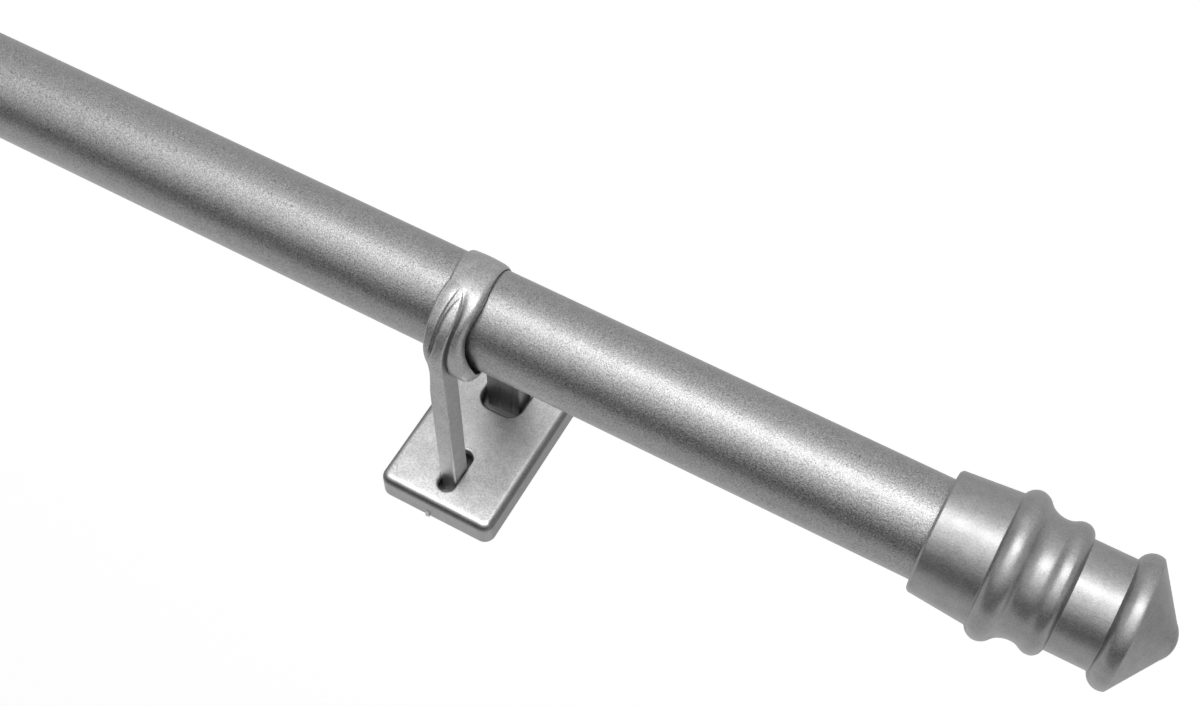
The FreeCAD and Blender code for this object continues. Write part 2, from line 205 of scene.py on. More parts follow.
def lathe(profile: np.ndarray, segments: int, centre: np.ndarray, way: int) -> Shell:
    """A profile turned round an axis parallel to X.

    Args:
        profile: array of shape (n, 2): distance along the axis and radius, in metres.
        segments: number of columns round the axis.
        centre: the point where the axis starts.
        way: +1 or -1, the direction of the axis along X.

    Returns:
        A closed shell.
    """
    angle = np.linspace(0, 2 * math.pi, segments, endpoint=False)
    along = np.repeat(profile[:, :1], segments, axis=1) * way
    points = np.stack(
        [along, profile[:, 1:] * np.cos(angle) * way, profile[:, 1:] * np.sin(angle)], axis=-1
    )
    return Shell(points + centre)


def smooth_step(value: np.ndarray, low: float, high: float) -> np.ndarray:
    """Zero below low, one above high, and a smooth cubic ramp between them."""
    share = np.clip((value - low) / (high - low), 0, 1)
    return share * share * (3 - 2 * share)


def follow(line: tuple, at: np.ndarray) -> np.ndarray:
    """A smooth curve through given places: cubic pieces whose slopes match where they meet.

    Args:
        line: pairs of place and value, in rising order of place.
        at: where the curve is wanted; outside the places the end values hold.

    Returns:
        The curve's values, in the shape of at.
    """
    place, value = np.array(line).T
    slope = np.gradient(value, place)
    slope[0] = slope[-1] = 0.0
    held = np.clip(at, place[0], place[-1])
    piece = np.clip(np.searchsorted(place, held, side="right") - 1, 0, len(place) - 2)
    width = place[piece + 1] - place[piece]
    share = (held - place[piece]) / width
    blend = share * share * (3 - 2 * share)
    leaving = share * (1 - share) ** 2 * width * slope[piece]
    coming = share * share * (share - 1) * width * slope[piece + 1]
    return value[piece] * (1 - blend) + value[piece + 1] * blend + leaving + coming


# Finishes


@dataclass(frozen=True)
class Grain:
    """The fine sparkle of a metallic paint.

    Args:
        scale: noise cycles a metre.
        roughness_swing: how far roughness varies.
        shade_swing: how far the colour varies, as a share.
        bump: height of the grain in metres.
        cloud: how far the colour varies over a few millimetres, as a share.
    """

    scale: float = 2600.0
    roughness_swing: float = 0.1
    shade_swing: float = 0.1
    bump: float = 0.00002
    cloud: float = 0.0


@dataclass(frozen=True)
class PewterPaint:
    """A neutral grey metallic paint.

    Args:
        name: the material's name.
        shade: linear grey value.
        metallic: how metallic the paint film is.
        roughness: mean roughness.
        coat: weight of the clear film over it.
        grain: its sparkle.
        toned: whether the mesh's painted light and shade lighten and darken it.
    """

    name: str
    shade: float
    metallic: float
    roughness: float
    coat: float
    grain: Grain = field(default_factory=Grain)
    toned: bool = False

    def material(self) -> bpy.types.Material:
        """Build the paint from object coordinates.

        Returns:
            A node material.
        """
        made = bpy.data.materials.new(self.name)
        made.use_nodes = True
        tree = made.node_tree
        shader = tree.nodes["Principled BSDF"]
        shader.inputs["Metallic"].default_value = self.metallic
        shader.inputs["Coat Weight"].default_value = self.coat
        shader.inputs["Coat Roughness"].default_value = 0.12
        place = tree.nodes.new("ShaderNodeTexCoord")
        grain = tree.nodes.new("ShaderNodeGroup")
        grain.node_tree = paint_grain_group()
        grain.inputs["Scale"].default_value = self.grain.scale
        grain.inputs["Shade"].default_value = self.shade
        # painted light and shade kept on the mesh scale the paint's shade
        if self.toned:
            tone = tree.nodes.new("ShaderNodeAttribute")
            tone.attribute_name = "tone"
            share = tree.nodes.new("ShaderNodeMath")
            share.operation = "MULTIPLY"
            share.inputs[1].default_value = self.shade
            tree.links.new(tone.outputs["Fac"], share.inputs[0])
            tree.links.new(share.outputs[0], grain.inputs["Shade"])
        grain.inputs["Shade Swing"].default_value = self.grain.shade_swing
        grain.inputs["Cloud Swing"].default_value = self.grain.cloud
        grain.inputs["Roughness"].default_value = self.roughness
        grain.inputs["Roughness Swing"].default_value = self.grain.roughness_swing
        bump = tree.nodes.new("ShaderNodeBump")
        bump.inputs["Distance"].default_value = self.grain.bump
        tree.links.new(place.outputs["Object"], grain.inputs["Place"])
        tree.links.new(grain.outputs["Colour"], shader.inputs["Base Color"])
        tree.links.new(grain.outputs["Roughness"], shader.inputs["Roughness"])
        tree.links.new(grain.outputs["Height"], bump.inputs["Height"])
        tree.links.new(bump.outputs["Normal"], shader.inputs["Normal"])
        return made


# Cloud cycles for each cycle of the grain.
CLOUD_COARSENESS = 0.12


def paint_grain_group() -> bpy.types.NodeTree:
    """The node group shared by the paints: a two-scale grain that gives colour, roughness and height.

    Returns:
        The group, made once.
    """
    name = "paint_grain"
    if name in bpy.data.node_groups:
        return bpy.data.node_groups[name]
    group = bpy.data.node_groups.new(name, "ShaderNodeTree")
    inputs = {
        "Place": "NodeSocketVector",
        "Scale": "NodeSocketFloat",
        "Shade": "NodeSocketFloat",
        "Shade Swing": "NodeSocketFloat",
        "Cloud Swing": "NodeSocketFloat",
        "Roughness": "NodeSocketFloat",
        "Roughness Swing": "NodeSocketFloat",
    }
    for label, kind in inputs.items():
        group.interface.new_socket(label, in_out="INPUT", socket_type=kind)
    outputs = {"Colour": "NodeSocketColor", "Roughness": "NodeSocketFloat", "Height": "NodeSocketFloat"}
    for label, kind in outputs.items():
        group.interface.new_socket(label, in_out="OUTPUT", socket_type=kind)
    nodes, links = group.nodes, group.links
    entry = nodes.new("NodeGroupInput")
    leave = nodes.new("NodeGroupOutput")
    noise = nodes.new("ShaderNodeTexNoise")
    noise.inputs["Detail"].default_value = 3.0
    noise.inputs["Roughness"].default_value = 0.6
    links.new(entry.outputs["Place"], noise.inputs["Vector"])
    links.new(entry.outputs["Scale"], noise.inputs["Scale"])

    def math_node(operation: str, first, second) -> bpy.types.NodeSocket:
        node = nodes.new("ShaderNodeMath")
        node.operation = operation
        for socket, value in zip(node.inputs, (first, second)):
            if isinstance(value, (int, float)):
                socket.default_value = value
            else:
                links.new(value, socket)
        return node.outputs[0]

    centred = math_node("SUBTRACT", noise.outputs["Fac"], 0.5)
    doubled = math_node("MULTIPLY", centred, 2.0)
    shade_part = math_node("MULTIPLY", doubled, entry.outputs["Shade Swing"])
    cloud = nodes.new("ShaderNodeTexNoise")
    cloud.inputs["Detail"].default_value = 2.0
    links.new(entry.outputs["Place"], cloud.inputs["Vector"])
    links.new(math_node("MULTIPLY", entry.outputs["Scale"], CLOUD_COARSENESS), cloud.inputs["Scale"])
    cloud_centred = math_node("SUBTRACT", cloud.outputs["Fac"], 0.5)
    cloud_part = math_node("MULTIPLY", cloud_centred, entry.outputs["Cloud Swing"])
    cloud_share = math_node("ADD", cloud_part, 1.0)
    shade_share = math_node("ADD", shade_part, cloud_share)
    shade = math_node("MULTIPLY", shade_share, entry.outputs["Shade"])
    grey = nodes.new("ShaderNodeCombineColor")
    for channel in ("Red", "Green", "Blue"):
        links.new(shade, grey.inputs[channel])
    rough_part = math_node("MULTIPLY", doubled, entry.outputs["Roughness Swing"])
    rough = math_node("ADD", rough_part, entry.outputs["Roughness"])
    links.new(grey.outputs["Color"], leave.inputs["Colour"])
    links.new(rough, leave.inputs["Roughness"])
    links.new(noise.outputs["Fac"], leave.inputs["Height"])
    return group


TUBE_PAINT = PewterPaint("tube_pewter", 0.255, 0.92, 0.34, 0.0, Grain(4200.0, 0.18, 1.2, 0.00004, 0.2))
CAST_PAINT = PewterPaint("cast_pewter", 0.25, 0.92, 0.34, 0.0, Grain(4200.0, 0.12, 0.5, 0.00002, 0.35))
YOKE_PAINT = PewterPaint("yoke_pewter", 0.32, 0.9, 0.37, 0.0, Grain(4200.0, 0.15, 0.9, 0.00003, 0.4))
# The cover's paint takes the painted light and shade kept on its mesh.
COVER_PAINT = PewterPaint("cover_pewter", 0.42, 0.9, 0.36, 0.0, Grain(4200.0, 0.1, 0.6, 0.00003, 0.35), True)
# The zinc plate's own grey, lowered as painted shade so its floor in the slots reads dark.
ZINC_PLATE_SLOT_SHADE = PewterPaint("zinc_plate", 0.32, 1.0, 0.42, 0.0, Grain(900.0, 0.12, 0.12, 0.00001))


def dress(piece: bpy.types.Object, finish: PewterPaint) -> None:
    """Give an object one finish all over.

    Args:
        piece: the object.
        finish: its finish.
    """
    material = bpy.data.materials.get(finish.name) or finish.material()
    piece.data.materials.clear()
    piece.data.materials.append(material)


# Pieces


def axis_of(node: str) -> np.ndarray:
    """The lowest-X point of a node's own X axis, from its box."""
    low, high = (np.array(corner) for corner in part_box(node))
    middle = (low + high) / 2
    return np.array([low[0], middle[1], middle[2]])


@dataclass(frozen=True)
class TubeSizes:
    """Sizes of a thin tube in millimetres.

    Args:
        wall: wall thickness.
        lip: rounding of the cut end.
        segments: columns round the tube.
        rings: rows along it.
    """

    wall: float = 0.45
    lip: float = 0.12
    segments: int = 192
    rings: int = 120


class Tube:
    """A thin round tube that stands for one CAD tube."""

    def __init__(self, node: str, body: str, sizes: TubeSizes = TubeSizes()) -> None:
        """Take the tube's place and length from the frame.

        Args:
            node: the CAD node.
            body: the body that it rides on.
            sizes: its own sizes.
        """
        self.node = node
        self.body = body
        self.sizes = sizes

    def profile(self, length: float, radius: float) -> np.ndarray:
        """Outer wall, two eased lips and inner wall as one closed run of stations and radii."""
        lip = self.sizes.lip * MM
        bore = radius - self.sizes.wall * MM
        stations = np.linspace(lip, length - lip, self.sizes.rings)
        outer = np.stack([stations, np.full_like(stations, radius)], axis=1)
        inner = np.stack([stations[::-1], np.full_like(stations, bore)], axis=1)
        far = np.array([[length, radius - lip], [length, bore + lip]])
        near = np.array([[0, bore + lip], [0, radius - lip], [lip, radius]])
        return np.concatenate([outer, far, inner, near])

    def build(self) -> bpy.types.Object:
        """Make, dress and seat the tube.

        Returns:
            The new object.
        """
        low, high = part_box(self.node)
        radius = (high[2] - low[2]) / 2
        shell = lathe(
            self.profile(high[0] - low[0], radius), self.sizes.segments, axis_of(self.node), 1
        )
        piece = mesh_object(f"{self.node}_skin", [shell])
        dress(piece, TUBE_PAINT)
        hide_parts(self.node)
        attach(piece, self.body)
        return piece


@dataclass(frozen=True)
class FinialSizes:
    """The turned finial's profile in millimetres, from the mouth of its socket to its tip."""

    mouth_radius: float = 9.62
    mouth_edge: float = 0.35
    collar_length: float = 9.4
    collar_radius: float = 10.36
    first_bead_width: float = 4.25
    first_bead_rise: float = 1.35
    cove_width: float = 3.6
    cove_depth: float = 0.45
    cove_radius: float = 9.67
    second_bead_width: float = 3.4
    second_bead_rise: float = 1.15
    second_bead_crown: float = 0.45
    neck_radius: float = 8.645
    neck_length: float = 6.5
    third_bead_width: float = 3.25
    third_bead_bulge: float = 0.9
    third_bead_crown: float = 0.28
    cone_radius: float = 10.25
    cone_length: float = 4.95
    tip_radius: float = 2.9
    tip_length: float = 1.15
    socket_clearance: float = 0.04
    socket_depth: float = 16.0
    core_shoulder: float = 1.4
    core_end: float = 28.0
    paint_ease: float = 0.09
    cove_ease: float = 0.4
    step: float = 0.07
    segments: int = 144


class Finial:
    """A turned finial with a socket collar, three beads, a neck and a blunt cone."""

    def __init__(self, side: Side, held_tube: str, body: str, sizes: FinialSizes) -> None:
        """Place the finial on the tube that it caps.

        Args:
            side: which end of the rod.
            held_tube: node name of the tube in its socket.
            body: the body that it rides on.
            sizes: the profile's sizes.
        """
        self.side = side
        self.held_tube = held_tube
        self.body = body
        self.sizes = sizes

    def outer_profile(self) -> np.ndarray:
        """Stations and radii from the mouth's lip to the tip, beads as arcs, in millimetres."""
        s = self.sizes
        collar_end = s.collar_length
        first_end = collar_end + s.first_bead_width
        cove_end = first_end + s.cove_width
        second_end = cove_end + s.second_bead_width
        neck_end = second_end + s.neck_length
        third_end = neck_end + s.third_bead_width
        cone_end = third_end + s.cone_length
        tip_end = cone_end + s.tip_length
        # the tip is a cap of a ball, passed half way out from the axis
        half_tip = s.tip_radius / 2
        ball = (s.tip_radius**2 / s.tip_length + s.tip_length) / 2
        bead = 24
        parts = [
            np.array([[0, s.mouth_radius - s.mouth_edge], [s.mouth_edge, s.mouth_radius]]),
            arc_through(
                (collar_end, s.collar_radius),
                ((collar_end + first_end) / 2, s.collar_radius + s.first_bead_rise),
                (first_end, s.collar_radius),
                bead,
            ),
            arc_through(
                (first_end, s.collar_radius),
                (
                    (first_end + cove_end) / 2,
                    (s.collar_radius + s.cove_radius) / 2 - s.cove_depth,
                ),
                (cove_end, s.cove_radius),
                bead,
            )[1:],
            arc_through(
                (cove_end, s.cove_radius),
                (
                    cove_end + s.second_bead_width * s.second_bead_crown,
                    (s.cove_radius + s.neck_radius) / 2 + s.second_bead_rise,
                ),
                (second_end, s.neck_radius),
                bead,
            )[1:],
            arc_through(
                (neck_end, s.neck_radius),
                (
                    neck_end + s.third_bead_width * s.third_bead_crown,
                    s.neck_radius
                    + (s.cone_radius - s.neck_radius) * s.third_bead_crown
                    + s.third_bead_bulge,
                ),
                (third_end, s.cone_radius),
                bead,
            ),
            arc_through(
                (cone_end, s.tip_radius),
                (tip_end - ball + math.sqrt(ball**2 - half_tip**2), half_tip),
                (tip_end, 0.0),
                bead,
            ),
        ]
        # the first bead flows into the cove, and the cove into the second bead
        flowing = np.concatenate([parts[1][bead // 2 :], parts[2], parts[3][: bead // 2]])
        before = np.concatenate([parts[0], parts[1][: bead // 2]])
        after = np.concatenate([parts[3][bead // 2 :], *parts[4:]])
        return np.concatenate([before, eased(flowing, s.step, s.cove_ease), after])

    def inner_profile(self, held_radius: float) -> np.ndarray:
        """Stations and radii of the socket and its core, from the core's end back to the mouth."""
        s = self.sizes
        socket = held_radius / MM + s.socket_clearance
        core = socket - s.core_shoulder
        return np.array(
            [
                [s.core_end, 0.0],
                [s.core_end, core],
                [s.socket_depth, core],
                [s.socket_depth, socket],
                [0.3, socket],
                [0.0, socket + 0.3],
                [0.0, s.mouth_radius - s.mouth_edge],
            ]
        )

    def build(self) -> bpy.types.Object:
        """Make, dress and seat the finial.

        Returns:
            The new object.
        """
        s = self.sizes
        low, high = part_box(self.held_tube)
        node = f"{self.side.word}_finial"
        finial_low, finial_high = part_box(node)
        mouth = finial_high[0] if self.side is Side.LEFT else finial_low[0]
        start = axis_of(self.held_tube)
        start[0] = mouth
        outer = eased(self.outer_profile(), s.step, s.paint_ease)
        outer[-1, 1] = 1e-4
        inner = self.inner_profile((high[2] - low[2]) / 2)
        inner[0, 1] = 1e-4
        shells = [
            lathe(outer * MM, s.segments, start, self.side.value),
            lathe(inner * MM, s.segments, start, self.side.value),
        ]
        shells[0].cap_last = True
        shells[1].cap_first = True
        piece = mesh_object(f"{node}_skin", shells)
        dress(piece, CAST_PAINT)
        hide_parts(node)
        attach(piece, self.body)
        return piece


@dataclass(frozen=True)
class YokeSizes:
    """The cast yoke in millimetres and degrees, from the middle of its ring.

    Angles run round the rod's axis from the back leg's side, over the front of the ring, to the front
    leg's side at half a turn.
    """

    bore_radius: float = 8.75
    lip: float = 0.35
    ring_radius: float = 9.65
    ring_offset: float = 0.35
    band_width: float = 6.6
    band_centre: float = -0.3
    band_skew: float = 8.0
    band_crown: float = 0.12
    near_edge: float = 1.3
    far_edge: float = 0.6
    leg_width: float = 3.0
    leg_depth: float = 3.95
    leg_middle: float = 9.15
    leg_edge: float = 0.35
    strap_width: float = 6.6
    strap_shoulder: float = 4.5
    strap_grooves: tuple = (0.7, -1.8)
    strap_groove_depth: float = 0.12
    foot: float = 39.8
    tenon_width: float = 2.2
    tenon_depth: float = 2.7
    tenon_length: float = 1.4
    strand_start: float = 86.0
    strand_sink: float = 0.27
    strand_edge: float = 0.55
    run_out: float = 6.5
    crease_depth: float = 0.55
    crease_width: float = 0.32
    crease_spread: float = 0.6
    fold_width: float = 0.14
    fold_spread: float = 0.5


class Yoke:
    """The ring casting: a leaning band, a strand that twists off it into the front leg, and a back strap."""

    # Lines on the casting: angle round the ring and place along the rod. Past half a turn the angle
    # counts the way down the leg. The inner crease parts the strand from the band, the outer crease
    # parts the strand's two ribs, and the last line is the strand's far side.
    INNER_CREASE = (
        (86.0, -0.1),
        (96.0, -0.35),
        (103.0, -0.72),
        (114.0, -1.18),
        (123.0, -1.43),
        (132.0, -1.52),
        (142.0, -1.46),
        (152.0, -1.35),
        (164.0, -1.22),
        (178.0, -1.2),
        (195.0, -1.35),
        (230.0, -1.5),
    )
    OUTER_CREASE = (
        (86.0, -0.5),
        (96.0, -0.2),
        (102.0, 0.05),
        (112.0, 0.28),
        (121.0, 0.54),
        (130.0, 0.7),
        (139.0, 0.8),
        (149.0, 0.88),
        (160.0, 0.95),
        (180.0, 1.1),
    )
    FAR_SIDE = (
        (86.0, 2.55),
        (95.0, 2.66),
        (104.0, 2.8),
        (113.0, 2.84),
        (135.0, 2.72),
        (153.0, 2.5),
        (166.0, 2.25),
        (173.0, 1.92),
        (180.0, 1.42),
        (192.0, 1.14),
        (212.0, 1.22),
        (228.0, 1.42),
        (245.0, 1.5),
        (270.0, 1.5),
    )

    # How far the band's near edge falls short of its leaning line, by angle.
    NEAR_TRIM = (
        (98.0, 0.0),
        (107.0, 0.12),
        (115.0, 0.3),
        (122.0, 0.56),
        (135.0, 1.08),
        (147.0, 1.42),
        (157.0, 1.4),
        (168.0, 1.22),
        (180.0, 0.75),
        (190.0, 0.28),
        (202.0, 0.0),
    )

    def __init__(self, side: Side, body: str, sizes: YokeSizes) -> None:
        """Find the ring's middle from the frame.

        Args:
            side: which bracket.
            body: the body that it rides on.
            sizes: the casting's sizes.
        """
        self.side = side
        self.body = body
        self.sizes = sizes

    def centre(self) -> np.ndarray:
        """The middle of the ring's bore, in metres."""
        mounts = {mount["name"]: mount for mount in frame["record"]["mounts"]}
        wall = np.array(mounts[f"{self.side.word}_wall"]["pos_m"], dtype=float)
        rod = axis_of("outer_tube")
        return np.array([wall[0], rod[1], wall[2]])

    @staticmethod
    def crease(across: np.ndarray, line: np.ndarray, near: np.ndarray, far: float) -> np.ndarray:
        """How deep a crease dips, as a share: a bell curve across it with its own width on each side."""
        width = np.where(across < line, near, far)
        return np.exp(-(((across - line) / width) ** 2))

    def band(self) -> Shell:
        """The band: at each angle a low dome with rolled edges, whose middle leans along the rod.

        The outside is a circle set off towards the front leg. The inside comes closer to the rod on
        that side. The inner crease dips the outside after the strand's start and fades out where the
        strand stands clear of the band.
        """
        s = self.sizes
        angle = np.linspace(0, 2 * math.pi, 360, endpoint=False)[:, None]
        degrees = np.degrees(angle)
        lean = math.tan(math.radians(s.band_skew)) * np.cos(angle) * s.ring_radius
        far = s.band_centre + lean + s.band_width / 2
        near = far - s.band_width + follow(self.NEAR_TRIM, degrees)
        # each column's place on the flat between the edges, and how far out on an edge's roll it lies
        roll = np.sin(np.linspace(0, math.pi / 2, 14))
        flat = np.linspace(0, 1, 90)[1:-1]
        still = np.zeros_like(roll)
        level = np.concatenate([still, flat, still + 1])
        over_near = np.concatenate([roll[::-1], 0 * flat, still])
        over_far = np.concatenate([still, 0 * flat, roll])
        share = np.sqrt(1 - (over_near + over_far) ** 2)
        across = (near + s.near_edge) * (1 - level) + (far - s.far_edge) * level
        across = across - s.near_edge * over_near + s.far_edge * over_far
        inner = s.bore_radius - s.lip * (1 - np.cos(angle))
        line = follow(self.INNER_CREASE, degrees)
        fade = smooth_step(degrees, 96, 128) * (1 - smooth_step(degrees, 185, 215))
        spread = s.crease_spread - (s.crease_spread - s.crease_width) * smooth_step(degrees, 118, 150)
        dip = fade * s.crease_depth * self.crease(across, line, spread, s.crease_width)
        top = s.ring_radius - s.ring_offset * np.cos(angle) - dip
        top = top - s.band_crown * (2 * level - 1) ** 2
        radius = inner + (top - inner) * share
        # the bore closes the section
        back = np.linspace(0, 1, 14)[1:-1]
        across = np.concatenate([across, far * (1 - back) + near * back], axis=1)
        radius = np.concatenate([radius, inner * np.ones_like(back)], axis=1)
        points = np.stack([across, -radius * np.sin(angle), -radius * np.cos(angle)], axis=-1)
        closed = np.concatenate([points, points[:1]], axis=0)
        return Shell(closed * MM, Wrap.CLOSED)

    def strand(self) -> Shell:
        """The strand: a bar swept over the front of the ring and straight down as the front leg.

        Its near side follows the inner crease, its far side runs in to the leg's width, its top rises
        from the band's surface to the leg's outer face, and the outer crease parts it in two ribs that
        merge again.
        """
        s = self.sizes
        sweep = np.linspace(math.radians(s.strand_start), math.pi, 110)
        run = np.linspace(0, s.run_out * 2, 40)[1:]
        rest = np.linspace(s.run_out * 2, s.foot, 12)[1:]
        down = np.concatenate([np.zeros_like(sweep), run, rest])
        angle = np.concatenate([sweep, np.full(len(run) + len(rest), math.pi)])
        degrees = np.degrees(angle) + np.degrees(down / s.leg_middle)
        leg_outer = s.leg_middle + s.leg_depth / 2
        leg_inner = s.leg_middle - s.leg_depth / 2
        rise = smooth_step(degrees, 92, 190) ** 1.3
        band_top = s.ring_radius - s.ring_offset * np.cos(angle)
        outer = band_top * (1 - rise) + leg_outer * rise
        outer -= s.strand_sink * (1 - smooth_step(degrees, 84, 106))
        hidden = s.bore_radius - s.lip + 0.1
        inner = np.interp(degrees, [s.strand_start, 170, 200], [hidden, hidden, leg_inner])
        near, far = follow(self.INNER_CREASE, degrees), follow(self.FAR_SIDE, degrees)
        split = follow(self.OUTER_CREASE, degrees)
        ribs = smooth_step(degrees, 93, 110)
        split_depth = s.crease_depth * ribs * (1 - smooth_step(degrees, 158, 178))
        crown = 0.2 * ribs * (1 - smooth_step(degrees, 165, 215))
        settle = smooth_step(degrees, 165, 205)
        edge = s.strand_edge * (1 - settle) + s.leg_edge * settle
        roll = np.linspace(0, math.pi / 2, 8)
        rolled = list(zip(1 - np.cos(roll), 1 - np.sin(roll)))
        columns = [(near + edge * in_, outer - edge * under) for in_, under in rolled]
        for share in np.linspace(0, 1, 61)[1:-1]:
            across = (near + edge) * (1 - share) + (far - edge) * share
            dip = split_depth * self.crease(across, split, s.fold_spread, s.fold_width)
            columns.append((across, outer - dip + crown * math.sin(math.pi * share)))
        columns += [(far - edge * in_, outer - edge * under) for in_, under in rolled[::-1]]
        columns += [(far - s.leg_edge * in_, inner + s.leg_edge * under) for in_, under in rolled]
        columns += [(near + s.leg_edge * in_, inner + s.leg_edge * under) for in_, under in rolled[::-1]]
        across = np.stack([column[0] for column in columns], axis=1)
        radius = np.stack([column[1] for column in columns], axis=1)
        points = np.stack(
            [
                across,
                -radius * np.sin(angle)[:, None] + down[:, None],
                -radius * np.cos(angle)[:, None],
            ],
            axis=-1,
        )
        return Shell(points * MM, Wrap.CLOSED, cap_first=True, cap_last=True)

    def strap(self) -> Shell:
        """The back leg: a strap as wide as the band, which leaves the ring over a sloping shoulder.

        Its inner face carries two shallow grooves along it.
        """
        s = self.sizes
        deep = np.concatenate([np.linspace(0, 9, 46), np.linspace(9, s.foot, 12)[1:]])[:, None]
        leg_outer = s.leg_middle + s.leg_depth / 2
        leg_inner = s.leg_middle - s.leg_depth / 2
        ring = np.sqrt(np.maximum(s.bore_radius**2 - deep**2, 0)) + 0.05
        inner = np.maximum(ring, leg_inner)
        start = s.ring_radius - s.ring_offset - 0.1
        outer = start + (leg_outer - start) * smooth_step(deep, 0, s.strap_shoulder * 1.4)
        half, edge = s.strap_width / 2, s.leg_edge
        roll = np.linspace(0, math.pi / 2, 8)
        flat = np.linspace(edge - half, half - edge, 61)[1:-1]
        columns = []
        for across in flat:
            dip = sum(math.exp(-(((across - line) / 0.25) ** 2)) for line in s.strap_grooves)
            columns.append((across, inner + s.strap_groove_depth * dip))
        for turn in roll:
            columns.append((half - edge * (1 - math.sin(turn)), inner + edge * (1 - math.cos(turn))))
        for turn in roll[::-1]:
            columns.append((half - edge * (1 - math.sin(turn)), outer - edge * (1 - math.cos(turn))))
        for turn in roll:
            columns.append((edge * (1 - math.sin(turn)) - half, outer - edge * (1 - math.cos(turn))))
        for turn in roll[::-1]:
            columns.append((edge * (1 - math.sin(turn)) - half, inner + edge * (1 - math.cos(turn))))
        across = np.array([column[0] for column in columns]) * np.ones_like(deep)
        high = -np.concatenate([column[1] for column in columns], axis=1)
        points = np.stack([across, deep * np.ones_like(across), high], axis=-1)
        return Shell(points * MM, Wrap.CLOSED, cap_first=True, cap_last=True)

    def tenon(self, middle: float) -> Shell:
        """A tenon with eased corners that passes into the wall plate.

        Args:
            middle: the tenon's height above the ring's middle.

        Returns:
            A closed shell with both ends filled.
        """
        s = self.sizes
        edge = 0.2
        turn = np.linspace(0, 2 * math.pi, 24, endpoint=False)
        across = np.sign(np.cos(turn)) * (s.tenon_width / 2 - edge) + edge * np.cos(turn)
        high = np.sign(np.sin(turn)) * (s.tenon_depth / 2 - edge) + edge * np.sin(turn) + middle
        deep = np.array([[s.foot - 1], [s.foot + s.tenon_length]]) * np.ones_like(turn)
        points = np.stack([across * np.ones_like(deep), deep, high * np.ones_like(deep)], axis=-1)
        return Shell(points * MM, Wrap.CLOSED, cap_first=True, cap_last=True)

    def build(self) -> bpy.types.Object:
        """Make, dress and seat the yoke.

        Returns:
            The new object.
        """
        s = self.sizes
        shells = [self.band(), self.strand(), self.strap()]
        for way in (-1, 1):
            shells.append(self.tenon(way * s.leg_middle))
        for shell in shells:
            shell.points += self.centre()
        node = f"{self.side.word}_yoke"
        piece = mesh_object(f"{node}_skin", shells, 55.0)
        dress(piece, YOKE_PAINT)
        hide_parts(node)
        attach(piece, self.body)
        return piece


@dataclass(frozen=True)
class Slot:
    """A round-cornered slot in the cover, in millimetres from the cover's middle.

    Args:
        low: its lower end.
        high: its upper end.
        width: its size along the rod.
        corner: its corner radius.
    """

    low: float
    high: float
    width: float
    corner: float


@dataclass(frozen=True)
class CoverSizes:
    """The moulded cover in millimetres."""

    width: float = 21.6
    length: float = 32.29
    height: float = 5.15
    wall: float = 1.2
    corner: float = 1.9
    crown: float = 0.12
    crown_reach: float = 2.1
    top_edge: float = 1.3
    foot_edge: float = 0.15
    slot_rim: float = 0.5
    slots: tuple = (Slot(4.5, 13.0, 3.15, 1.5), Slot(-13.425, -4.525, 7.8, 2.5))
    nub_station: float = 1.2
    nub_width: float = 0.85
    nub_rise: float = 0.35
    nub_height: float = 1.3


